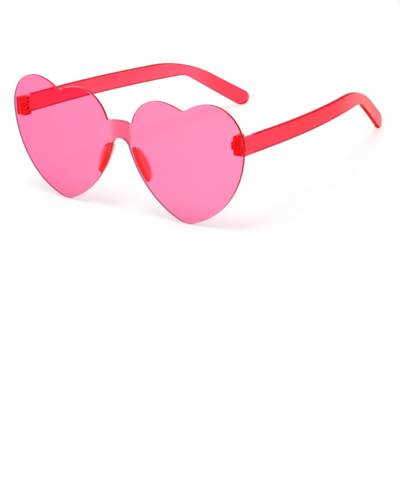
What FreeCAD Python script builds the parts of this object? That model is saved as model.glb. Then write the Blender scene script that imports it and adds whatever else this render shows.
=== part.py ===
import FreeCAD, Part
import math
import os

import Sketcher
from FreeCAD import Vector

# Rimless heart-shaped sunglasses: a one-piece tinted front with nose pads and hinge blocks cemented behind
# it, and two temples that fold on slotted screws.
doc = FreeCAD.newDocument("HeartSunglasses")

# how close, as a share of a size, a point on a face is taken to lie
TOUCH_SHARE = 0.001

# Driving dimensions in millimetres. Heights are measured up from the heart tips, drops down from what they
# hang below, depths back from the middle of the lens front.
SIZES = {
    # one-piece front
    "front_width": 150.5,
    "bridge_gap": 14.7,
    "lens_radius": 778.0,
    "lens_thickness": 1.5,
    "lens_edge_radius": 0.3,
    "heart_height": 60.3,
    "lobe_radius": 18.0,
    "tip_radius": 12.5,
    "notch_depth": 4.9,
    "notch_radius": 5.6,
    "inner_lobe_drop": 2.0,
    "inner_side_radius": 51.0,
    # where tip, notch and inner lobe lie across a heart, from its outer edge
    "tip_share": 0.5245,
    "notch_share": 0.517,
    "inner_lobe_share": 0.7275,
    # bridge and nose arch
    "bridge_drop": 15.0,
    "bridge_height": 8.7,
    "bridge_top_radius": 48.0,
    "bridge_corner_radius": 1.2,
    "bridge_rib_depth": 1.0,
    "bridge_rib_half_width": 3.0,
    "bridge_rib_round": 4.0,
    "nose_arch_radius": 6.1,
    # nose pads
    "pad_drop": 5.2,
    "pad_length": 13.0,
    "pad_end_radius": 1.7,
    "pad_reach": 3.7,
    "pad_depth": 3.4,
    "pad_edge_inset": 0.3,
    "pad_slope_inset": 1.0,
    "pad_round": 0.6,
    # hinge
    "hinge_drop": 0.5,
    "block_height": 9.2,
    "block_base_thickness": 1.5,
    "block_round": 0.5,
    "tab_reach": 1.2,
    "tab_height": 3.9,
    "knuckle_radius": 1.6,
    "tongue_height": 3.6,
    "tongue_play": 0.12,
    "hinge_clearance": 0.3,
    "cement_gap": 0.04,
    "stop_gap": 0.15,
    # hinge screw
    "screw_radius": 0.7,
    "screw_seat_clearance": 0.02,
    "screw_run_clearance": 0.05,
    "screw_head_radius": 1.3,
    "screw_head_height": 0.7,
    "screw_slot_width": 0.4,
    "screw_slot_depth": 0.35,
    # temples
    "temple_inset": 0.6,
    "temple_thickness": 2.6,
    "temple_height": 9.3,
    "temple_edge_radius": 0.8,
    "curve_start": 30.0,
    "curve_inset": 0.9,
    "curve_radius": 300.0,
    "bend_reach": 112.4,
    "bend_drop": 2.3,
    "bend_height": 8.2,
    "bend_top_radius": 60.0,
    "bend_under_radius": 14.0,
    "tip_reach": 30.3,
    "tip_drop": 22.2,
    "tip_end_radius": 3.9,
    # one overrun for every cut
    "overrun": 5.0,
}

# Places that follow from the driving dimensions.
PLACES = {
    "half_width": "Sizes.front_width / 2",
    "half_gap": "Sizes.bridge_gap / 2",
    "heart_width": "half_width - half_gap",
    "side_height": "Sizes.heart_height - Sizes.lobe_radius",
    "lobe_offset": "half_width - Sizes.lobe_radius",
    "tip_offset": "half_width - Sizes.tip_share * heart_width",
    "notch_offset": "half_width - Sizes.notch_share * heart_width",
    "notch_height": "Sizes.heart_height - Sizes.notch_depth",
    "inner_lobe_offset": "half_width - Sizes.inner_lobe_share * heart_width",
    "inner_lobe_height": "Sizes.heart_height - Sizes.inner_lobe_drop",
    "inner_lobe_radius": "inner_lobe_offset - half_gap",
    "bridge_top": "Sizes.heart_height - Sizes.bridge_drop",
    "nose_arch_height": "bridge_top - Sizes.bridge_height",
    "arch_centre": "nose_arch_height - Sizes.nose_arch_radius",
    # centre of the arc down the nose side of a heart, touching the tip arc and the nose arch
    "side_tip_reach": "Sizes.inner_side_radius - Sizes.tip_radius",
    "side_arch_reach": "Sizes.inner_side_radius + Sizes.nose_arch_radius",
    "side_rise": "arch_centre - Sizes.tip_radius",
    "side_span": "sqrt(tip_offset ^ 2 + side_rise ^ 2)",
    "side_along": "(side_tip_reach ^ 2 - side_arch_reach ^ 2 + side_span ^ 2) / (2 * side_span)",
    "side_across": "sqrt(side_tip_reach ^ 2 - side_along ^ 2)",
    "side_x": "tip_offset - (side_along * tip_offset - side_across * side_rise) / side_span",
    "side_z": "Sizes.tip_radius + (side_along * side_rise + side_across * tip_offset) / side_span",
    # nose pad: ends on a line inside the heart's nose edge, and an outer arc that bulges by the reach
    "pad_top_height": "nose_arch_height - Sizes.pad_drop",
    "pad_bottom_height": "pad_top_height - Sizes.pad_length",
    "pad_side_radius": "Sizes.inner_side_radius - Sizes.pad_edge_inset",
    "pad_end_line": "pad_side_radius - Sizes.pad_end_radius",
    "pad_top_x": "side_x - sqrt(pad_end_line ^ 2 - (side_z - pad_top_height) ^ 2)",
    "pad_bottom_x": "side_x - sqrt(pad_end_line ^ 2 - (side_z - pad_bottom_height) ^ 2)",
    "pad_chord": "sqrt((pad_bottom_x - pad_top_x) ^ 2 + Sizes.pad_length ^ 2)",
    "pad_bulge": "Sizes.pad_reach - Sizes.pad_end_radius",
    "pad_swell": "pad_chord ^ 2 / 4 + Sizes.pad_reach ^ 2 - Sizes.pad_end_radius ^ 2",
    "pad_outer_radius": "pad_swell / (2 * pad_bulge)",
    "pad_taper": "atan(Sizes.pad_slope_inset / Sizes.pad_depth)",
    "hinge_height": "side_height - Sizes.hinge_drop",
    # outer face of a temple where it meets the back of the lens
    "arm_x": "half_width - Sizes.temple_inset",
    "arm_inner_x": "arm_x - Sizes.temple_thickness",
    "back_radius": "Sizes.lens_radius - Sizes.lens_thickness",
    "arm_front": "Sizes.lens_radius - sqrt(back_radius ^ 2 - arm_x ^ 2)",
    "toe_slope": "Sizes.curve_inset / (Sizes.curve_start - arm_front)",
    "toe_stretch": "sqrt(1 + toe_slope ^ 2)",
    "plan_front": "arm_x + toe_slope * arm_front",
    # hinge axis, clear of the temple's inner face and of the block's base
    "pivot_reach": "Sizes.knuckle_radius + Sizes.hinge_clearance",
    "base_back": "arm_front + Sizes.block_base_thickness",
    "pivot_y": "base_back + pivot_reach",
    "pivot_x": "arm_inner_x - toe_slope * (pivot_y - arm_front) - pivot_reach * toe_stretch",
    # far ends of the cuts
    "front_depth": "arm_front + Sizes.overrun",
    "wide": "half_width + Sizes.overrun",
    "tip_y": "Sizes.bend_reach + Sizes.tip_reach",
    "tip_z": "bend_z - Sizes.tip_drop",
    "bend_z": "hinge_height - Sizes.bend_drop",
    "long": "tip_y + Sizes.tip_end_radius + Sizes.overrun",
}


def fill_sheet(name, cells):
    """A two-column sheet: names beside values, each value under its own alias."""
    sheet = doc.addObject("Spreadsheet::Sheet", name)
    for row, alias in enumerate(cells, 1):
        sheet.set(f"A{row}", alias)
        sheet.setAlias(f"B{row}", alias)
    for row, content in enumerate(cells.values(), 1):
        sheet.set(f"B{row}", f"={content}" if isinstance(content, str) else str(content))
    doc.recompute()
    return sheet


sizes = fill_sheet("Sizes", SIZES)
places = fill_sheet("Places", PLACES)


def value(expression):
    """The number that an expression on the two sheets gives now."""
    return float(sizes.evalExpression(expression))


def size(alias):
    return value(f"Sizes.{alias}")


def place(alias):
    return value(f"Places.{alias}")


def new_body(name):
    return doc.addObject("PartDesign::Body", name)


def new_sketch(body, name, role, lift=None):
    """A sketch on one of the body's own origin planes, raised along the plane's normal."""
    sketch = body.newObject("Sketcher::SketchObject", name)
    support = next(plane for plane in body.Origin.OriginFeatures if plane.Role == role)
    sketch.AttachmentSupport = [(support, "")]
    sketch.MapMode = "FlatFace"
    if lift:
        sketch.setExpression("AttachmentOffset.Base.z", lift)
    return sketch


def bind(sketch, expression, kind, *where):
    """A dimension in a sketch, held to an expression on the sheets."""
    index = sketch.addConstraint(Sketcher.Constraint(kind, *where, value(expression)))
    sketch.setExpression(f"Constraints[{index}]", expression)


def bind_point(sketch, geometry, point, across, along):
    bind(sketch, across, "DistanceX", geometry, point)
    bind(sketch, along, "DistanceY", geometry, point)


def outline(sketch, corners):
    """A closed polygon whose corners are pairs of expressions."""
    points = [Vector(value(across), value(along), 0) for across, along in corners]
    lines = []
    for here, there in zip(points, points[1:] + points[:1]):
        lines.append(sketch.addGeometry(Part.LineSegment(here, there)))
    for line, after in zip(lines, lines[1:] + lines[:1]):
        sketch.addConstraint(Sketcher.Constraint("Coincident", line, 2, after, 1))
    for line, (across, along) in zip(lines, corners):
        bind_point(sketch, line, 1, across, along)
    return lines


def touch(first, second):
    """Where two tangent arcs meet; a radius is negative where the arc is hollow."""
    (centre, radius), (next_centre, next_radius) = first, second
    return centre - (next_centre - centre) * (radius / (next_radius - radius))


def meet(centre, radius, other_centre, other_radius):
    """The point, left of the way from one centre to the other, at the given distances from both."""
    offset = other_centre - centre
    along = (radius ** 2 - other_radius ** 2 + offset.Length ** 2) / (2 * offset.Length)
    across = math.sqrt(radius ** 2 - along ** 2)
    unit = offset / offset.Length
    return centre + unit * along + Vector(-unit.y, unit.x, 0) * across


def arc_chain(sketch, arcs, start, end):
    """Tangent arcs from start to end; returns each arc with its first and last point numbers."""
    points = [start] + [touch(a, b) for a, b in zip(arcs, arcs[1:])] + [end]
    chain = []
    for (centre, radius), first, last in zip(arcs, points, points[1:]):
        ends = (first, last) if radius > 0 else (last, first)
        angles = [math.atan2(point.y - centre.y, point.x - centre.x) for point in ends]
        circle = Part.Circle(centre, Vector(0, 0, 1), abs(radius))
        geometry = sketch.addGeometry(Part.ArcOfCircle(circle, *angles))
        chain.append((geometry, 1, 2) if radius > 0 else (geometry, 2, 1))
    for (arc, _, last), (after, first, _) in zip(chain, chain[1:]):
        sketch.addConstraint(Sketcher.Constraint("Tangent", arc, last, after, first))
    return chain


def close_with_line(sketch, chain):
    """Join the loose ends of a chain of arcs with a straight line."""
    (head, head_point, _), (tail, _, tail_point) = chain[0], chain[-1]
    loose_ends = sketch.getPoint(tail, tail_point), sketch.getPoint(head, head_point)
    line = sketch.addGeometry(Part.LineSegment(*loose_ends))
    sketch.addConstraint(Sketcher.Constraint("Coincident", tail, tail_point, line, 1))
    sketch.addConstraint(Sketcher.Constraint("Coincident", line, 2, head, head_point))
    return line


def pad(body, sketch, name, length, reverse=False, centred=False, taper=None):
    feature = body.newObject("PartDesign::Pad", name)
    feature.Profile = sketch
    feature.setExpression("Length", length)
    feature.Midplane = centred
    feature.Reversed = reverse
    if taper:
        feature.setExpression("TaperAngle", taper)
    doc.recompute()
    return feature


def pocket(body, sketch, name, length, reverse=False, centred=False):
    """A cut; one that removes nothing is a mistake in its direction."""
    before = body.Shape.Volume
    feature = body.newObject("PartDesign::Pocket", name)
    feature.Profile = sketch
    feature.setExpression("Length", length)
    feature.Midplane = centred
    feature.Reversed = reverse
    doc.recompute()
    if not feature.Shape.Volume < before:
        raise RuntimeError(f"{name} cuts nothing")
    return feature


def fillet(body, base, name, edges, radius):
    feature = body.newObject("PartDesign::Fillet", name)
    feature.Base = (base, edges)
    feature.setExpression("Radius", radius)
    doc.recompute()
    return feature


def edges_where(shape, test):
    """Names of the edges whose middle point and direction pass a test."""
    names = []
    for number, edge in enumerate(shape.Edges, 1):
        middle = (edge.FirstParameter + edge.LastParameter) / 2
        if test(edge.valueAt(middle), edge.tangentAt(middle), edge):
            names.append(f"Edge{number}")
    return names


def mirror_image(source, name):
    """The same piece on the other side of the nose."""
    image = doc.addObject("Part::Mirroring", name)
    image.Source = source
    image.Base = Vector(0, 0, 0)
    image.Normal = Vector(1, 0, 0)
    return image


def cut_to_lens_back(body, name, gap, limit, deep):
    """Cut along the lens's back face, rib included, at a gap from it, out to a depth limit."""
    sketch = new_sketch(body, name + "Line", "XY_Plane")
    rib = "Sizes.lens_thickness + Sizes.bridge_rib_depth"
    rib_centre = f"{rib} - Sizes.bridge_rib_round"
    crest_centre = Vector(size("bridge_rib_half_width"), value(rib_centre), 0)
    crest_radius = value(f"Sizes.bridge_rib_round + {gap}")
    dip_radius = value(f"Sizes.bridge_rib_round - {gap}")
    sweep_centre = Vector(0, size("lens_radius"), 0)
    sweep_radius = value(f"Places.back_radius - {gap}")
    dip_centre = meet(sweep_centre, sweep_radius - dip_radius, crest_centre, crest_radius + dip_radius)
    start = crest_centre + Vector(0, crest_radius, 0)
    wide = place("wide")
    end = Vector(wide, sweep_centre.y - math.sqrt(sweep_radius ** 2 - wide ** 2), 0)
    arcs = [(crest_centre, -crest_radius), (dip_centre, dip_radius), (sweep_centre, sweep_radius)]
    (crest, crest_start, _), (dip, _, _), (sweep, _, sweep_end) = arc_chain(sketch, arcs, start, end)
    far = value(limit)
    corners = [end, Vector(wide, far, 0), Vector(0, far, 0), Vector(0, start.y, 0), start]
    lines = []
    for here, there in zip(corners, corners[1:]):
        lines.append(sketch.addGeometry(Part.LineSegment(here, there)))
    for line, after in zip(lines, lines[1:]):
        sketch.addConstraint(Sketcher.Constraint("Coincident", line, 2, after, 1))
    side, edge, middle, crown = lines
    sketch.addConstraint(Sketcher.Constraint("Coincident", sweep, sweep_end, side, 1))
    sketch.addConstraint(Sketcher.Constraint("Tangent", crown, 2, crest, crest_start))
    sketch.addConstraint(Sketcher.Constraint("Vertical", side))
    sketch.addConstraint(Sketcher.Constraint("Horizontal", edge))
    for point in ((edge, 2), (middle, 2), (sweep, 3)):
        sketch.addConstraint(Sketcher.Constraint("PointOnObject", *point, -2))
    bind(sketch, limit, "DistanceY", edge, 2)
    bind(sketch, "Places.wide", "DistanceX", side, 1)
    bind(sketch, "Sizes.lens_radius", "DistanceY", sweep, 3)
    bind(sketch, f"Places.back_radius - {gap}", "Radius", sweep)
    bind_point(sketch, crest, 3, "Sizes.bridge_rib_half_width", rib_centre)
    bind(sketch, f"Sizes.bridge_rib_round + {gap}", "Radius", crest)
    bind(sketch, f"Sizes.bridge_rib_round - {gap}", "Radius", dip)
    return pocket(body, sketch, name, f"2 * ({deep})", centred=True)


def half_lens_outline(body):
    """Right half of the front: bridge top, heart and nose arch as one run of tangent arcs."""
    sketch = new_sketch(body, "HeartOutline", "XZ_Plane", "Sizes.overrun")
    half_width, side = place("half_width"), place("side_height")
    top, lobe = size("heart_height"), size("lobe_radius")
    notch_x, notch_z, notch = place("notch_offset"), place("notch_height"), size("notch_radius")
    inner_x, inner_top = place("inner_lobe_offset"), place("inner_lobe_height")
    inner = place("inner_lobe_radius")
    tip_x, tip = place("tip_offset"), size("tip_radius")
    arch_top, arch = place("nose_arch_height"), size("nose_arch_radius")
    bridge_top, bridge = place("bridge_top"), size("bridge_top_radius")
    corner = size("bridge_corner_radius")

    def crown(lobe_x, lobe_top):
        """The flatter arc from the top of a lobe down into the notch."""
        span, drop = lobe_x - notch_x, lobe_top - notch_z
        radius = (span ** 2 + drop ** 2) / (2 * drop) - notch
        return Vector(lobe_x, lobe_top - radius, 0), radius

    run, rise = half_width - tip_x, side - tip
    outer = (run ** 2 + rise ** 2 - tip ** 2) / (2 * (run - tip))
    lobe_centre = Vector(inner_x, inner_top - inner, 0)
    bridge_centre = Vector(0, bridge_top - bridge, 0)
    corner_centre = meet(bridge_centre, bridge + corner, lobe_centre, inner + corner)
    arcs = [
        (Vector(0, arch_top - arch, 0), -arch),
        (Vector(place("side_x"), place("side_z"), 0), size("inner_side_radius")),
        (Vector(tip_x, tip, 0), tip),
        (Vector(half_width - outer, side, 0), outer),
        (Vector(half_width - lobe, side, 0), lobe),
        crown(half_width - lobe, top),
        (Vector(notch_x, notch_z + notch, 0), -notch),
        crown(inner_x, inner_top),
        (lobe_centre, inner),
        (corner_centre, -corner),
        (bridge_centre, bridge),
    ]
    chain = arc_chain(sketch, arcs, Vector(0, arch_top, 0), Vector(0, bridge_top, 0))
    seam = close_with_line(sketch, chain)
    numbers = [arc for arc, _, _ in chain]
    arch_arc, side_arc, tip_arc, _, lobe_arc, _ = numbers[:6]
    notch_arc, _, inner_arc, corner_arc, bridge_arc = numbers[6:]
    for arc in (arch_arc, bridge_arc):
        sketch.addConstraint(Sketcher.Constraint("PointOnObject", arc, 3, -2))
    sketch.addConstraint(Sketcher.Constraint("PointOnObject", seam, 1, -2))
    sketch.addConstraint(Sketcher.Constraint("Vertical", seam))
    bind(sketch, "Places.bridge_top", "DistanceY", seam, 1)
    bind(sketch, "Places.nose_arch_height", "DistanceY", seam, 2)
    radii = {
        arch_arc: "Sizes.nose_arch_radius",
        side_arc: "Sizes.inner_side_radius",
        tip_arc: "Sizes.tip_radius",
        notch_arc: "Sizes.notch_radius",
        inner_arc: "Places.inner_lobe_radius",
        corner_arc: "Sizes.bridge_corner_radius",
        bridge_arc: "Sizes.bridge_top_radius",
    }
    for arc, radius in radii.items():
        bind(sketch, radius, "Radius", arc)
    bind_point(sketch, tip_arc, 3, "Places.tip_offset", "Sizes.tip_radius")
    bind_point(sketch, notch_arc, 3, "Places.notch_offset", "Places.notch_height + Sizes.notch_radius")
    bind_point(sketch, lobe_arc, 3, "Places.lobe_offset", "Places.side_height")
    bind_point(sketch, lobe_arc, 1, "Places.half_width", "Places.side_height")
    bind(sketch, "Places.lobe_offset", "DistanceX", lobe_arc, 2)
    bind_point(sketch, inner_arc, 1, "Places.inner_lobe_offset", "Places.inner_lobe_height")
    bind(sketch, "Places.inner_lobe_offset", "DistanceX", inner_arc, 3)
    return sketch


def make_half_lens():
    """Half of the moulded front, bent round the face and thicker across the bridge."""
    body = new_body("HalfLens")
    pad(body, half_lens_outline(body), "HeartPad", "Sizes.overrun + Places.front_depth", reverse=True)
    face = new_sketch(body, "FrontFace", "XY_Plane")
    radius, wide = size("lens_radius"), place("wide")
    centre = Vector(0, radius, 0)
    end = Vector(wide, radius - math.sqrt(radius ** 2 - wide ** 2), 0)
    (arc, first, last), = arc_chain(face, [(centre, radius)], Vector(0, 0, 0), end)
    ahead = -size("overrun")
    corners = [Vector(0, 0, 0), Vector(0, ahead, 0), Vector(wide, ahead, 0), end]
    lines = []
    for here, there in zip(corners, corners[1:]):
        lines.append(face.addGeometry(Part.LineSegment(here, there)))
    middle, base, side = lines
    face.addConstraint(Sketcher.Constraint("Coincident", arc, first, -1, 1))
    face.addConstraint(Sketcher.Constraint("Coincident", middle, 1, -1, 1))
    face.addConstraint(Sketcher.Constraint("Coincident", middle, 2, base, 1))
    face.addConstraint(Sketcher.Constraint("Coincident", base, 2, side, 1))
    face.addConstraint(Sketcher.Constraint("Coincident", side, 2, arc, last))
    face.addConstraint(Sketcher.Constraint("Vertical", middle))
    face.addConstraint(Sketcher.Constraint("Horizontal", base))
    face.addConstraint(Sketcher.Constraint("Vertical", side))
    face.addConstraint(Sketcher.Constraint("PointOnObject", arc, 3, -2))
    bind(face, "Sizes.lens_radius", "Radius", arc)
    bind_point(face, base, 2, "Places.wide", "-Sizes.overrun")
    pocket(body, face, "FrontCut", "2 * (Sizes.heart_height + Sizes.overrun)", centred=True)
    blank = cut_to_lens_back(
        body, "BackCut", "0", "Places.front_depth + Sizes.overrun", "Sizes.heart_height + Sizes.overrun"
    )
    rim = edges_where(blank.Shape, lambda middle, way, edge: edge.Curve.TypeId != "Part::GeomLine")
    fillet(body, blank, "RimRound", rim, "Sizes.lens_edge_radius")
    return body


def make_nose_pad():
    """A low moulded ridge behind the nose edge of the heart: steep to the nose, rounded along the top."""
    body = new_body("RightNosePad")
    sketch = new_sketch(body, "PadFoot", "XZ_Plane", "-Sizes.lens_thickness")
    side_centre = Vector(place("side_x"), place("side_z"), 0)
    end_radius, outer_radius = size("pad_end_radius"), place("pad_outer_radius")
    low = Vector(place("pad_bottom_x"), place("pad_bottom_height"), 0)
    high = Vector(place("pad_top_x"), place("pad_top_height"), 0)
    outer_centre = meet(low, outer_radius - end_radius, high, outer_radius - end_radius)
    arcs = [
        (side_centre, place("pad_side_radius")),
        (low, end_radius),
        (outer_centre, outer_radius),
        (high, end_radius),
    ]
    seam = touch(arcs[-1], arcs[0])
    chain = arc_chain(sketch, arcs, seam, seam)
    side, low_end, outer, high_end = [arc for arc, _, _ in chain]
    sketch.addConstraint(Sketcher.Constraint("Tangent", high_end, 2, side, 1))
    bind_point(sketch, side, 3, "Places.side_x", "Places.side_z")
    bind(sketch, "Places.pad_side_radius", "Radius", side)
    bind(sketch, "Sizes.pad_end_radius", "Radius", low_end)
    bind(sketch, "Sizes.pad_end_radius", "Radius", high_end)
    bind(sketch, "Places.pad_outer_radius", "Radius", outer)
    bind(sketch, "Places.pad_bottom_height", "DistanceY", low_end, 3)
    bind(sketch, "Places.pad_top_height", "DistanceY", high_end, 3)
    pad(body, sketch, "PadRidge", "Sizes.pad_depth", reverse=True, taper="-Places.pad_taper")
    trimmed = cut_to_lens_back(body, "PadSeat", "Sizes.cement_gap", "0", "Sizes.heart_height")
    crest = value("Sizes.lens_thickness + Sizes.pad_depth")
    near = crest * TOUCH_SHARE
    edges = edges_where(trimmed.Shape, lambda middle, way, edge: abs(middle.y - crest) < near)
    fillet(body, trimmed, "PadRound", edges, "Sizes.pad_round")
    return body


def make_end_piece():
    """Moulded block cemented behind the outer edge of the lens: foot, tab and two lugs for the screw."""
    body = new_body("RightEndPiece")
    foot = new_sketch(body, "BlockFoot", "XZ_Plane")
    left, right = "Places.pivot_x - Sizes.knuckle_radius", "Places.pivot_x + Sizes.knuckle_radius"
    tab = f"{left} - Sizes.tab_reach"
    low = "Places.hinge_height - Sizes.block_height / 2"
    high = "Places.hinge_height + Sizes.block_height / 2"
    tab_low = "Places.hinge_height - Sizes.tab_height / 2"
    tab_high = "Places.hinge_height + Sizes.tab_height / 2"
    outline(foot, [
        (left, low), (right, low), (right, high), (left, high),
        (left, tab_high), (tab, tab_high), (tab, tab_low), (left, tab_low),
    ])
    block = pad(body, foot, "Foot", "Places.base_back", reverse=True)
    upright = edges_where(block.Shape, lambda middle, way, edge: abs(way.y) > 1 - TOUCH_SHARE)
    fillet(body, block, "FootRound", upright, "Sizes.block_round")
    cut_to_lens_back(body, "FootSeat", "Sizes.cement_gap", "0", "Sizes.heart_height")
    lugs = new_sketch(body, "LugOutline", "XY_Plane", "Places.hinge_height")
    knuckle_outline(lugs, left, right, "Places.arm_front")
    pad(body, lugs, "Lugs", "Sizes.block_height", centred=True)
    gap = new_sketch(body, "TongueGapOutline", "XY_Plane", "Places.hinge_height")
    near, far = "Places.base_back", "Places.pivot_y + Sizes.knuckle_radius + Sizes.overrun"
    past_left, past_right = f"{left} - Sizes.overrun", f"{right} + Sizes.overrun"
    outline(gap, [(past_left, near), (past_right, near), (past_right, far), (past_left, far)])
    pocket(body, gap, "TongueGap", "Sizes.tongue_height + 2 * Sizes.tongue_play", centred=True)
    pivot_hole(body, "ScrewHole", "Sizes.screw_radius + Sizes.screw_seat_clearance")
    return body


def knuckle_outline(sketch, left, right, front):
    """Seen from above: straight sides from a front line back to a half circle round the hinge axis."""
    pivot = Vector(place("pivot_x"), place("pivot_y"), 0)
    radius = size("knuckle_radius")
    corners = [Vector(value(left), value(front), 0), Vector(value(right), value(front), 0)]
    arc = sketch.addGeometry(Part.ArcOfCircle(Part.Circle(pivot, Vector(0, 0, 1), radius), 0, math.pi))
    ends = [sketch.getPoint(arc, 2), sketch.getPoint(arc, 1)]
    base = sketch.addGeometry(Part.LineSegment(corners[0], corners[1]))
    right_side = sketch.addGeometry(Part.LineSegment(corners[1], ends[1]))
    left_side = sketch.addGeometry(Part.LineSegment(ends[0], corners[0]))
    sketch.addConstraint(Sketcher.Constraint("Coincident", base, 2, right_side, 1))
    sketch.addConstraint(Sketcher.Constraint("Coincident", left_side, 2, base, 1))
    sketch.addConstraint(Sketcher.Constraint("Tangent", right_side, 2, arc, 1))
    sketch.addConstraint(Sketcher.Constraint("Tangent", arc, 2, left_side, 1))
    sketch.addConstraint(Sketcher.Constraint("Horizontal", base))
    sketch.addConstraint(Sketcher.Constraint("Vertical", right_side))
    sketch.addConstraint(Sketcher.Constraint("Vertical", left_side))
    bind_point(sketch, arc, 3, "Places.pivot_x", "Places.pivot_y")
    bind(sketch, "Sizes.knuckle_radius", "Radius", arc)
    bind(sketch, front, "DistanceY", base, 1)


def pivot_circle(sketch, radius):
    centre = Vector(place("pivot_x"), place("pivot_y"), 0)
    circle = sketch.addGeometry(Part.Circle(centre, Vector(0, 0, 1), value(radius)))
    bind_point(sketch, circle, 3, "Places.pivot_x", "Places.pivot_y")
    bind(sketch, radius, "Radius", circle)


def pivot_hole(body, name, radius):
    """The bore on the hinge axis."""
    sketch = new_sketch(body, name + "Circle", "XY_Plane", "Places.hinge_height")
    pivot_circle(sketch, radius)
    return pocket(body, sketch, name, "Sizes.temple_height + Sizes.overrun", centred=True)


def make_hinge_screw():
    """Slotted pan-head screw down through both lugs, the pin that the temple turns on."""
    body = new_body("RightHingeScrew")
    shank = new_sketch(body, "ShankCircle", "XY_Plane", "Places.hinge_height")
    pivot_circle(shank, "Sizes.screw_radius")
    pad(body, shank, "Shank", "Sizes.block_height", centred=True)
    seat = "Places.hinge_height + Sizes.block_height / 2"
    head = new_sketch(body, "HeadCircle", "XY_Plane", seat)
    pivot_circle(head, "Sizes.screw_head_radius")
    pad(body, head, "Head", "Sizes.screw_head_height")
    slot = new_sketch(body, "SlotOutline", "XY_Plane", f"{seat} + Sizes.screw_head_height")
    left = "Places.pivot_x - Sizes.screw_head_radius - Sizes.overrun"
    right = "Places.pivot_x + Sizes.screw_head_radius + Sizes.overrun"
    near = "Places.pivot_y - Sizes.screw_slot_width / 2"
    far = "Places.pivot_y + Sizes.screw_slot_width / 2"
    outline(slot, [(left, near), (right, near), (right, far), (left, far)])
    pocket(body, slot, "Slot", "Sizes.screw_slot_depth")
    return body


def temple_side_outline(body):
    """Seen from the side: a tapering arm, the bend behind the ear and a drop end with a round tip."""
    sketch = new_sketch(body, "SideOutline", "YZ_Plane")
    front, bend = place("hinge_height"), place("bend_z")
    half_front, half_bend = size("temple_height") / 2, size("bend_height") / 2
    reach = size("bend_reach")
    tip, radius = Vector(place("tip_y"), place("tip_z"), 0), size("tip_end_radius")

    def tangent_point(corner, side):
        """Where a line from a corner touches the tip's circle, on one side."""
        way = tip - corner
        turn = math.asin(radius / way.Length) * side
        length = math.sqrt(way.Length ** 2 - radius ** 2) / way.Length
        across, along = way.x * length, way.y * length
        cosine, sine = math.cos(turn), math.sin(turn)
        return corner + Vector(across * cosine - along * sine, across * sine + along * cosine, 0)

    low, high = Vector(reach, bend - half_bend, 0), Vector(reach, bend + half_bend, 0)
    front_low, front_high = Vector(0, front - half_front, 0), Vector(0, front + half_front, 0)
    tip_low, tip_high = tangent_point(low, -1), tangent_point(high, 1)
    under = sketch.addGeometry(Part.LineSegment(front_low, low))
    drop_under = sketch.addGeometry(Part.LineSegment(low, tip_low))
    (arc, _, _), = arc_chain(sketch, [(tip, radius)], tip_low, tip_high)
    drop_top = sketch.addGeometry(Part.LineSegment(tip_high, high))
    top = sketch.addGeometry(Part.LineSegment(high, front_high))
    end = sketch.addGeometry(Part.LineSegment(front_high, front_low))
    for line, after in ((under, drop_under), (drop_top, top), (top, end), (end, under)):
        sketch.addConstraint(Sketcher.Constraint("Coincident", line, 2, after, 1))
    sketch.addConstraint(Sketcher.Constraint("Tangent", drop_under, 2, arc, 1))
    sketch.addConstraint(Sketcher.Constraint("Tangent", arc, 2, drop_top, 1))
    sketch.addConstraint(Sketcher.Constraint("PointOnObject", end, 1, -2))
    sketch.addConstraint(Sketcher.Constraint("PointOnObject", end, 2, -2))
    bind(sketch, "Places.hinge_height - Sizes.temple_height / 2", "DistanceY", under, 1)
    bind(sketch, "Places.hinge_height + Sizes.temple_height / 2", "DistanceY", top, 2)
    bind_point(sketch, under, 2, "Sizes.bend_reach", "Places.bend_z - Sizes.bend_height / 2")
    bind_point(sketch, top, 1, "Sizes.bend_reach", "Places.bend_z + Sizes.bend_height / 2")
    bind_point(sketch, arc, 3, "Places.tip_y", "Places.tip_z")
    bind(sketch, "Sizes.tip_end_radius", "Radius", arc)
    return sketch


def temple_plan(inward):
    """Plan line at a depth in from a temple's outer face: front end, curve start, curve centre, radius."""
    slope, stretch = place("toe_slope"), place("toe_stretch")
    inner = Vector(-1, -slope, 0) / stretch
    corner = Vector(place("arm_x") - size("curve_inset"), size("curve_start"), 0)
    centre = corner + inner * size("curve_radius")
    start = corner + inner * inward
    front = Vector(start.x + slope * start.y, 0, 0)
    return front, start, centre, size("curve_radius") - inward


def temple_plan_x(inward, depth):
    """How far out the plan line lies at a depth behind the lens front."""
    front, start, centre, radius = temple_plan(inward)
    if depth < start.y:
        return front.x - place("toe_slope") * depth
    return centre.x + math.sqrt(radius ** 2 - (depth - centre.y) ** 2)


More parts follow.
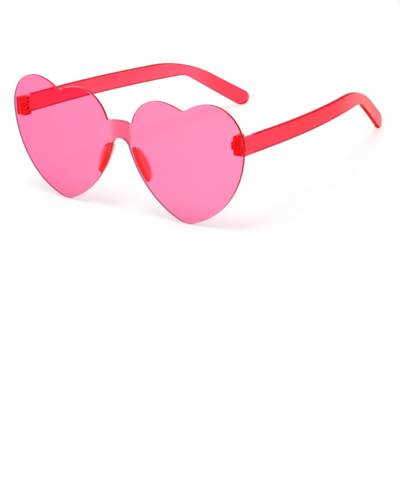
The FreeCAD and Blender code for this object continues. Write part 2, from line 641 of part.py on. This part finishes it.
def temple_side_cut(body, name, inward, limit):
    """Cut away all outside, or all inside, one face of the temple, along its plan line."""
    sketch = new_sketch(body, name + "Plan", "XY_Plane")
    inset = value(inward)
    front, start, centre, radius = temple_plan(inset)
    length, far = place("long"), value(limit)
    end = Vector(temple_plan_x(inset, length), length, 0)
    line = sketch.addGeometry(Part.LineSegment(front, start))
    (arc, first, last), = arc_chain(sketch, [(centre, radius)], start, end)
    corners = [end, Vector(far, length, 0), Vector(far, 0, 0), front]
    back, side, base = [sketch.addGeometry(Part.LineSegment(*pair)) for pair in zip(corners, corners[1:])]
    sketch.addConstraint(Sketcher.Constraint("Tangent", line, 2, arc, first))
    for joint in ((arc, last, back, 1), (back, 2, side, 1), (side, 2, base, 1), (base, 2, line, 1)):
        sketch.addConstraint(Sketcher.Constraint("Coincident", *joint))
    sketch.addConstraint(Sketcher.Constraint("Horizontal", back))
    sketch.addConstraint(Sketcher.Constraint("Vertical", side))
    sketch.addConstraint(Sketcher.Constraint("PointOnObject", base, 1, -1))
    sketch.addConstraint(Sketcher.Constraint("PointOnObject", base, 2, -1))
    shift = f"{inward} / Places.toe_stretch"
    bind_point(
        sketch, line, 2,
        f"Places.arm_x - Sizes.curve_inset - {shift}",
        f"Sizes.curve_start - {shift} * Places.toe_slope",
    )
    bind(sketch, f"Places.plan_front - {inward} * Places.toe_stretch", "DistanceX", line, 1)
    bind(sketch, f"Sizes.curve_radius - {inward}", "Radius", arc)
    bind(sketch, "Places.long", "DistanceY", back, 1)
    bind(sketch, limit, "DistanceX", side, 1)
    return pocket(body, sketch, name, "Places.hinge_height + Sizes.temple_height", reverse=True)


def make_temple():
    """Right temple: one flat moulding, bent down and curved in behind the ear, with a hinge tongue."""
    body = new_body("RightTemple")
    blank = pad(body, temple_side_outline(body), "ArmBlank", "Places.wide")
    reach, bend, half = size("bend_reach"), place("bend_z"), size("bend_height") / 2
    near = half * TOUCH_SHARE

    def bend_edge(height):
        return lambda middle, way, edge: (
            abs(way.x) > 1 - TOUCH_SHARE and abs(middle.y - reach) < near and abs(middle.z - height) < near
        )

    over = edges_where(blank.Shape, bend_edge(bend + half))
    rounded = fillet(body, blank, "BendTop", over, "Sizes.bend_top_radius")
    under = edges_where(rounded.Shape, bend_edge(bend - half))
    fillet(body, rounded, "BendUnder", under, "Sizes.bend_under_radius")
    temple_side_cut(body, "OuterFace", "0", "Places.wide")
    temple_side_cut(body, "InnerFace", "Sizes.temple_thickness", "0")
    arm = cut_to_lens_back(body, "OpenStop", "Sizes.stop_gap", "0", "Sizes.heart_height")
    thickness = size("temple_thickness")

    def long_edge(middle, way, edge):
        faces = [temple_plan_x(inward, middle.y) for inward in (0, thickness)]
        return abs(way.z) < 1 - TOUCH_SHARE and min(abs(middle.x - face) for face in faces) < near

    fillet(body, arm, "ArmRound", edges_where(arm.Shape, long_edge), "Sizes.temple_edge_radius")
    tongue = new_sketch(body, "TongueOutline", "XY_Plane", "Places.hinge_height")
    tongue_outline(tongue)
    pad(body, tongue, "Tongue", "Sizes.tongue_height", centred=True)
    pivot_hole(body, "TongueBore", "Sizes.screw_radius + Sizes.screw_run_clearance")
    return body


def tongue_outline(sketch):
    """Seen from above: a half circle round the hinge axis, carried out into the temple's front end."""
    pivot, radius = Vector(place("pivot_x"), place("pivot_y"), 0), size("knuckle_radius")
    root = value("Places.arm_inner_x")
    circle = Part.Circle(pivot, Vector(0, 0, 1), radius)
    arc = sketch.addGeometry(Part.ArcOfCircle(circle, math.pi / 2, 3 * math.pi / 2))
    back, front = sketch.getPoint(arc, 1), sketch.getPoint(arc, 2)
    corners = [front, Vector(root, front.y, 0), Vector(root, back.y, 0), back]
    near, side, far = [sketch.addGeometry(Part.LineSegment(*pair)) for pair in zip(corners, corners[1:])]
    sketch.addConstraint(Sketcher.Constraint("Tangent", arc, 2, near, 1))
    sketch.addConstraint(Sketcher.Constraint("Coincident", near, 2, side, 1))
    sketch.addConstraint(Sketcher.Constraint("Coincident", side, 2, far, 1))
    sketch.addConstraint(Sketcher.Constraint("Tangent", far, 2, arc, 1))
    sketch.addConstraint(Sketcher.Constraint("Horizontal", near))
    sketch.addConstraint(Sketcher.Constraint("Vertical", side))
    sketch.addConstraint(Sketcher.Constraint("Horizontal", far))
    bind_point(sketch, arc, 3, "Places.pivot_x", "Places.pivot_y")
    bind(sketch, "Sizes.knuckle_radius", "Radius", arc)
    bind(sketch, "Places.arm_inner_x", "DistanceX", side, 1)


def rest_placement(front, temple):
    """How the pair stands on a table: leant back until heart tips and temple tips touch it together."""
    def leant(shape, degrees):
        turned = shape.copy()
        turned.rotate(Vector(0, 0, 0), Vector(1, 0, 0), -degrees)
        return turned.optimalBoundingBox(False, False)

    upright, fallen = -45.0, 45.0
    for _ in range(40):
        lean = (upright + fallen) / 2
        if leant(temple, lean).ZMin > leant(front, lean).ZMin:
            upright = lean
        else:
            fallen = lean
    box = leant(front, lean)
    box.add(leant(temple, lean))
    turn = FreeCAD.Rotation(Vector(1, 0, 0), -lean)
    return FreeCAD.Placement(Vector(0, -box.Center.y, -box.ZMin), turn), lean


half_lens = make_half_lens()
right_pieces = {
    "nose_pad": make_nose_pad(),
    "end_piece": make_end_piece(),
    "hinge_screw": make_hinge_screw(),
    "temple": make_temple(),
}
rest, lean = rest_placement(half_lens.Shape, right_pieces["temple"].Shape)
for body in [half_lens, *right_pieces.values()]:
    body.Placement = rest
doc.recompute()

lens = doc.addObject("Part::Fuse", "HeartLens")
lens.Base = half_lens
lens.Tool = mirror_image(half_lens, "LeftHalfLens")
lens.Refine = True
lens.Label = "heart_lens"
pieces = [lens]
for name, body in right_pieces.items():
    body.Label = f"right_{name}"
    image = mirror_image(body, f"Left{body.Name[len('Right'):]}")
    image.Label = f"left_{name}"
    pieces += [body, image]
doc.recompute()

for item in doc.Objects:
    if "Invalid" in item.State or "Error" in item.State:
        raise RuntimeError(f"{item.Name} failed: {item.State}")
for piece in pieces:
    if piece.Shape.isNull() or not piece.Shape.isValid() or len(piece.Shape.Solids) != 1:
        raise RuntimeError(f"{piece.Label} is not one sound solid")

os.makedirs("parts", exist_ok=True)
for piece in pieces:
    piece.Shape.exportStep(f"parts/{piece.Label}.step")

pivot = rest.multVec(Vector(place("pivot_x"), place("pivot_y"), place("hinge_height")))
print(f"lean {lean:.3f} degrees, right hinge axis through {pivot.x:.3f}, {pivot.y:.3f}, {pivot.z:.3f}")
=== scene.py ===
import math

import bpy
from mathutils import Matrix, Vector

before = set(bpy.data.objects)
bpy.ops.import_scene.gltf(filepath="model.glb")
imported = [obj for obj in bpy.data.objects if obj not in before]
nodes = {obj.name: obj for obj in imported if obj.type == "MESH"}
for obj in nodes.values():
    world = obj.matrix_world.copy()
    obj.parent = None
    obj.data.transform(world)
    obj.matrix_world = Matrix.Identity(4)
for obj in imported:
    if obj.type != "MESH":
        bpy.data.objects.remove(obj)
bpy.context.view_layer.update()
scene = bpy.context.scene


# The front: one sheet of clear pink plastic, pressed to a shallow curve and cut to two hearts and a bridge.
# Its faces are polished. The cut edge is a painted reflection: from outside it is painted as a dark red
# mirror, standing in for light caught inside the sheet that leaves by the edge, and from inside it is
# painted a thin mauve line.
class Value:
    """A socket that can be written in a sum; each operator adds its Math node."""

    def __init__(self, shading, socket):
        self.shading, self.socket = shading, socket

    def maths(self, operation, *values):
        return self.shading.node("Math", {"operation": operation}, *values)

    def __add__(self, other):
        return self.maths("ADD", self, other)

    def __sub__(self, other):
        return self.maths("SUBTRACT", self, other)

    def __rsub__(self, other):
        return self.maths("SUBTRACT", other, self)

    def __mul__(self, other):
        return self.maths("MULTIPLY", self, other)

    __radd__, __rmul__ = __add__, __mul__

    def size(self):
        """The value without its sign."""
        return self.maths("ABSOLUTE", self)


class Shading:
    """A node tree under construction."""

    def __init__(self, owner, output):
        owner.use_nodes = True
        self.owner, self.tree = owner, owner.node_tree
        self.tree.nodes.clear()
        self.output = self.tree.nodes.new("ShaderNodeOutput" + output)

    def node(self, kind, settings=None, *values, out=0, **named):
        """Add a node: its settings first, then the values or links of its sockets. Gives one output."""
        made = self.tree.nodes.new("ShaderNode" + kind)
        for setting, choice in (settings or {}).items():
            setattr(made, setting, choice)
        for socket, value in [*enumerate(values), *named.items()]:
            self.feed(made.inputs[socket.replace("_", " ") if isinstance(socket, str) else socket], value)
        return Value(self, made.outputs[out])

    def feed(self, socket, value):
        if isinstance(value, Value):
            self.tree.links.new(value.socket, socket)
        elif value is not None:
            socket.default_value = value

    def mix(self, share, first, second):
        """A colour part of the way from one colour to another."""
        number_sockets = [None] * 5
        return self.node("Mix", {"data_type": "RGBA"}, share, *number_sockets, first, second, out=2)

    def spread(self, value, low, high):
        """0 at low, 1 at high, and even in between."""
        return self.node("MapRange", {}, value, low, high, 0.0, 1.0)

    def along(self, vector, direction):
        """How far a point lies in a direction, or how squarely a face looks that way."""
        return self.node("VectorMath", {"operation": "DOT_PRODUCT"}, vector, direction, out="Value")

    def show(self, surface, volume=None):
        self.feed(self.output.inputs["Surface"], surface)
        self.feed(self.output.inputs["Volume"], volume)
        return self.owner


def clear_plastic(name, soaks_up, shadow, bends, clear, tint):
    """Clear dyed plastic: what a metre of it soaks up of each colour, and a tint that follows its form."""
    dyed = Shading(bpy.data.materials.new(name), "Material")
    point = dyed.node("TexCoord", out="Object")
    facing = dyed.node("TexCoord", out="Normal")
    flow_marks, streak_span = 70.0, (0.35, 0.7)
    flow = dyed.node("TexNoise", {}, Vector=point, Scale=flow_marks, Detail=2.0, Roughness=0.5)
    streak = dyed.spread(flow, *streak_span)
    smears, wiping_stroke, smear_span = 260.0, (1.0, 0.35, 2.4), (0.52, 0.75)
    drawn_out = dyed.node("VectorMath", {"operation": "MULTIPLY"}, point, wiping_stroke)
    wiped = dyed.node("TexNoise", {}, Vector=drawn_out, Scale=smears, Detail=5.0, Roughness=0.65)
    smear = dyed.spread(wiped, *smear_span)
    polish, smear_dulls, top_gloss = 0.015, 0.05, 0.04
    ripple_strength, ripple_depth, smear_share = 0.12, 0.00015, 0.08
    ripple = dyed.node(
        "Bump", {}, Strength=ripple_strength, Distance=ripple_depth, Height=flow + smear_share * wiped
    )
    plastic = dyed.node(
        "BsdfPrincipled", {},
        Roughness=polish + smear_dulls * smear,
        IOR=bends,
        Transmission_Weight=clear,
        Coat_Roughness=top_gloss,
        Normal=ripple,
        **tint(dyed, point, facing, streak),
    )
    most = max(soaks_up)
    dye_colour = (*[1 - each / most for each in soaks_up], 1.0)
    dye = dyed.node("VolumeAbsorption", {}, Color=dye_colour, Density=most)
    on_way_to_lamp = dyed.node("LightPath", out="Is Shadow Ray")
    shade = dyed.node("BsdfTransparent", {}, Color=shadow)
    return dyed.show(dyed.node("MixShader", {}, on_way_to_lamp, plastic, shade), dye)


def finish(material, *names):
    for name in names:
        for slot in nodes[name].material_slots:
            slot.material = material


sideways = (1.0, 0.0, 0.0)
sheet_faces = (0.0, -0.9955, 0.0948)
white = (1.0, 1.0, 1.0, 1.0)


def front_tint(dyed, point, facing, streak):
    """Painted reflection, dark red on the cut edge and mauve from inside; redder, brighter polish on the
    thick bridge.
    """
    painted_edge_red, painted_inner_edge_mauve = (0.56, 0.006, 0.014, 1.0), (0.22, 0.06, 0.12, 1.0)
    streak_pink, bridge_pink = (1.0, 0.97, 0.98, 1.0), (1.0, 0.98, 0.8, 1.0)
    foot_red = (1.0, 0.58, 0.62, 1.0)
    cut_slant = (0.82, 0.62)
    bridge_span = (0.0105, 0.004)
    foot_rises, foot_fades, foot_depth = (0.0038, 0.0053), (0.0082, 0.0053), (0.0734, 0.0726)
    sheet_gloss, bridge_gloss = 0.1, 0.8

    from_inside = dyed.node("NewGeometry", out="Backfacing")
    cut_edge = dyed.spread(dyed.along(facing, sheet_faces).size(), *cut_slant)
    from_middle = dyed.along(point, sideways).size()
    bridge = dyed.spread(from_middle, *bridge_span)
    runs_out = dyed.spread(from_middle, *foot_rises) * dyed.spread(from_middle, *foot_fades)
    rib_foot = runs_out * dyed.spread(dyed.along(point, sheet_faces), *foot_depth)
    sheet = dyed.mix(bridge, dyed.mix(streak, white, streak_pink), bridge_pink)
    # Painted light: from outside the cut edge is painted a dark red mirror, from inside a thin mauve line.
    painted_edge_light = dyed.mix(from_inside, painted_edge_red, painted_inner_edge_mauve)
    return {
        "Base_Color": dyed.mix(cut_edge, dyed.mix(rib_foot, sheet, foot_red), painted_edge_light),
        # The metal on the cut edge is part of the painted reflection, not a metal part.
        "Metallic": cut_edge * (1.0 - from_inside),
        "Coat_Weight": (sheet_gloss + bridge_gloss * bridge) * (1.0 - cut_edge),
    }


pink_sheet = clear_plastic(
    "pink_sheet",
    soaks_up=(3.0, 672.0, 362.0), shadow=(0.2, 0.17, 0.18, 1.0), bends=1.08, clear=1.0, tint=front_tint,
)
finish(pink_sheet, "heart_lens")


# Nose pads: small D-shaped ridges moulded in a redder clear plastic and cemented behind the nose edges.
# Along the nose edge, which is an arc, the pad is painted a deeper orange red next to the sheet.
def pad_tint(dyed, point, facing, streak):
    """Deep orange red at the cemented face, near the arc of the nose edge."""
    pad_pale, pad_deep, nose_band_red = (1.0, 0.95, 0.92, 1.0), (1.0, 0.88, 0.84, 1.0), (0.88, 0.035, 0.004, 1.0)
    arc_centre, arc_reach, joint_depth = (0.0543, 0.0, 0.0478), (0.0464, 0.0482), (0.0714, 0.0718)
    pad_gloss, flattened = 0.25, (1.0, 0.0, 1.0)

    either_side = dyed.node("VectorMath", {"operation": "ABSOLUTE"}, point)
    seen_flat = dyed.node("VectorMath", {"operation": "MULTIPLY"}, either_side, flattened)
    from_centre = dyed.node("VectorMath", {"operation": "DISTANCE"}, seen_flat, arc_centre, out="Value")
    cemented = dyed.spread(dyed.along(point, sheet_faces), *joint_depth)
    # A deeper orange red band is painted along the nose edge, next to the sheet.
    nose_band = dyed.spread(from_centre, *arc_reach) * cemented
    pad_body = dyed.mix(streak, pad_pale, pad_deep)
    return {"Base_Color": dyed.mix(nose_band, pad_body, nose_band_red), "Coat_Weight": pad_gloss}


red_pad = clear_plastic(
    "red_pad",
    soaks_up=(8.0, 350.0, 400.0), shadow=(0.8, 0.4, 0.4, 1.0), bends=1.12, clear=0.95, tint=pad_tint,
)
finish(red_pad, "left_nose_pad", "right_nose_pad")


# End pieces: moulded red hinge blocks, cemented behind the outer edges of the front, with two lugs that the
# screw goes down through and a short tab towards the nose. Dyed the deepest, they let little light through.
upwards = (0.0, 0.0, 1.0)


def block_tint(dyed, point, facing, streak):
    """Deep red, and a little deeper on the faces that look up and down: painted shade."""
    block_red, streak_red = (1.0, 0.03, 0.016, 1.0), (0.97, 0.018, 0.012, 1.0)
    level_shade_red, level_slant = (0.95, 0.02, 0.015, 1.0), (0.6, 0.95)
    block_gloss = 0.1

    # Painted shade: the faces that look up and down are painted a deeper red.
    level_face = dyed.spread(dyed.along(facing, upwards).size(), *level_slant)
    block_body = dyed.mix(streak, block_red, streak_red)
    return {"Base_Color": dyed.mix(level_face, block_body, level_shade_red), "Coat_Weight": block_gloss}


red_block = clear_plastic(
    "red_block",
    soaks_up=(2.0, 900.0, 1000.0), shadow=(0.9, 0.5, 0.5, 1.0), bends=1.03, clear=0.9, tint=block_tint,
)
finish(red_block, "left_end_piece", "right_end_piece")


# Temples: flat mouldings in clear red plastic, polished, bent down behind the ear to a round drop end.
# Their narrow edges are painted as fine dark lines, painted shade, and the straight part grows paler
# downwards.
# The butt end at the hinge is painted a red mirror, a painted reflection, and its tongue turns on the hinge
# screw.
backwards = (0.0, 1.0, 0.0)


def temple_tint(dyed, point, facing, streak):
    """Painted shade as dark lines on the narrow edges; pale along the under edge and round the bend; deep at
    the drop end.
    """
    edge_shade_red, painted_butt_red, drop_red = (0.48, 0.012, 0.02, 1.0), (0.95, 0.05, 0.05, 1.0), (1.0, 0.5, 0.5, 1.0)
    arm_red, streak_red = (1.0, 0.84, 0.8, 1.0), (1.0, 0.8, 0.77, 1.0)
    edge_slant, behind_hinge = (0.45, 0.65), (-0.058, -0.056)
    square_to_arm, arm_height = (0.0, 0.111, 1.0), (0.0296, 0.0333)
    paler_run, paler_share = (0.005, 0.034), 0.8
    bend_starts, bend_ends, drop_run = (0.012, 0.034), (0.064, 0.048), (0.046, 0.056)
    butt_slant, butt_run, painted_butt_mirror = (-0.7, -0.9), (-0.05, -0.052), 0.6
    arm_gloss, bend_gloss = 0.5, 0.5

    from_hinge = dyed.along(point, backwards)
    narrow = dyed.spread(dyed.along(facing, upwards).size(), *edge_slant)
    narrow_edge = narrow * dyed.spread(from_hinge, *behind_hinge)
    dyed_part = dyed.spread(dyed.along(point, square_to_arm), *arm_height)
    straight = dyed_part * (1.0 - paler_share * dyed.spread(from_hinge, *paler_run))
    bend = dyed.spread(from_hinge, *bend_starts) * dyed.spread(from_hinge, *bend_ends)
    drop_end = dyed.spread(from_hinge, *drop_run)
    faces_front = dyed.spread(dyed.along(facing, backwards), *butt_slant)
    from_outside = 1.0 - dyed.node("NewGeometry", out="Backfacing")
    # Painted reflection: from outside, the butt end is painted red and made a metal mirror.
    butt_end = faces_front * dyed.spread(from_hinge, *butt_run) * from_outside
    arm = dyed.mix(straight, white, dyed.mix(streak, arm_red, streak_red))
    # Painted shade: the narrow edges are painted as fine dark red lines.
    lined = dyed.mix(narrow_edge, dyed.mix(drop_end, arm, drop_red), edge_shade_red)
    return {
        "Base_Color": dyed.mix(butt_end, lined, painted_butt_red),
        "Metallic": painted_butt_mirror * butt_end,
        "Coat_Weight": (arm_gloss + bend_gloss * bend) * (1.0 - narrow_edge),
    }


red_temple = clear_plastic(
    "red_temple",
    soaks_up=(4.0, 850.0, 610.0), shadow=(1.0, 0.96, 0.965, 1.0), bends=1.06, clear=1.0, tint=temple_tint,
)
finish(red_temple, "left_temple", "right_temple")


# Hinge screws: small steel screws with slotted heads, turned on a lathe that leaves fine rings, and bright.
# Each goes down through the lugs of an end piece and the tongue of a temple, and is the hinge's pin.
steel = Shading(bpy.data.materials.new("turned_steel"), "Material")
steel_point = steel.node("TexCoord", out="Object")
grain = steel.node("TexNoise", {}, Vector=steel_point, Scale=2600.0, Detail=3.0)
lathe_rings = steel.node(
    "TexWave", {"wave_type": "BANDS", "bands_direction": "Z"},
    Vector=steel_point, Scale=1400.0, Distortion=0.6,
)
grey_steel, clean_steel = (0.8, 0.78, 0.76, 1.0), (0.93, 0.91, 0.89, 1.0)
smooth, grain_dulls = 0.2, 0.16
ring_strength, ring_depth = 0.15, 0.00003
bright_steel = steel.node(
    "BsdfPrincipled", {},
    Base_Color=steel.mix(grain, grey_steel, clean_steel),
    Metallic=1.0,
    Roughness=smooth + grain_dulls * grain,
    Normal=steel.node("Bump", {}, Strength=ring_strength, Distance=ring_depth, Height=lathe_rings),
)
finish(steel.show(bright_steel), "left_hinge_screw", "right_hinge_screw")


# The table: white paper, rolled out under the pair until it is out of view, with nothing fixed to it.
# It is matt, takes the faint shadow of the hearts and is bleached to the white of the walls.
paper_reach, paper_drop = 8.0, 0.0001
paper_mesh = bpy.data.meshes.new("paper")
paper_mesh.from_pydata(
    [(x * paper_reach, y * paper_reach, 0.0) for x, y in ((-1, -1), (1, -1), (1, 1), (-1, 1))],
    [], [(0, 1, 2, 3)],
)
paper = bpy.data.objects.new("paper", paper_mesh)
paper.location.z = -paper_drop
scene.collection.objects.link(paper)


def seen_directly(shading):
    """1 for what the camera sees, straight, in a polished face or through clear plastic."""
    straight, mirrored, through = [
        shading.node("LightPath", out=f"Is {way} Ray") for way in ("Camera", "Glossy", "Transmission")
    ]
    return shading.node("Math", {"operation": "MINIMUM"}, straight + mirrored + through, 1.0)


paper_grey, bleach = (0.45, 0.45, 0.45, 1.0), 0.55
white_paper = Shading(bpy.data.materials.new("white_paper"), "Material")
matt = white_paper.node("BsdfDiffuse", {}, Color=paper_grey)
bleached = white_paper.node("AddShader", {}, matt, white_paper.node("Emission", {}, Strength=bleach))
paper_mesh.materials.append(
    white_paper.show(white_paper.node("MixShader", {}, seen_directly(white_paper), matt, bleached))
)


# The studio: plain white walls all round that give an even light, and one wide soft lamp.
# The lamp hangs far overhead, a little to the front, so that shadows show only where the hearts stand.
even_level, wall_level = 0.55, 1.0
room = Shading(bpy.data.worlds.new("studio"), "World")
even_light = room.node("Background", {}, white, even_level)
white_wall = room.node("Background", {}, white, wall_level)
scene.world = room.show(room.node("MixShader", {}, seen_directly(room), even_light, white_wall))
overhead = bpy.data.lights.new("overhead", "SUN")
overhead.energy = 1.7
overhead.angle = math.radians(30.0)
lamp = bpy.data.objects.new("overhead", overhead)
lamp.rotation_euler.x = math.radians(4.0)
scene.collection.objects.link(lamp)


# The camera: on a stand in front of the pair, to the right and above, as for a catalogue picture.
# Its long lens keeps the sides of the temples near parallel, and it is tilted a little.
camera_data = bpy.data.cameras.new("camera")
camera_data.sensor_width = 36.0
camera_data.lens = 176.42
camera = bpy.data.objects.new("camera", camera_data)
picture_right = Vector((0.749799, 0.651255, -0.116911))
picture_up = Vector((-0.169434, 0.359782, 0.917523))
towards_camera = Vector((0.639604, -0.668149, 0.380109))
stand = Vector((0.789736, -0.850118, 0.429698))
turn = Matrix((picture_right, picture_up, towards_camera)).transposed()
camera.matrix_world = Matrix.Translation(stand) @ turn.to_4x4()
scene.collection.objects.link(camera)
scene.camera = camera
scene.view_settings.view_transform = "Standard"
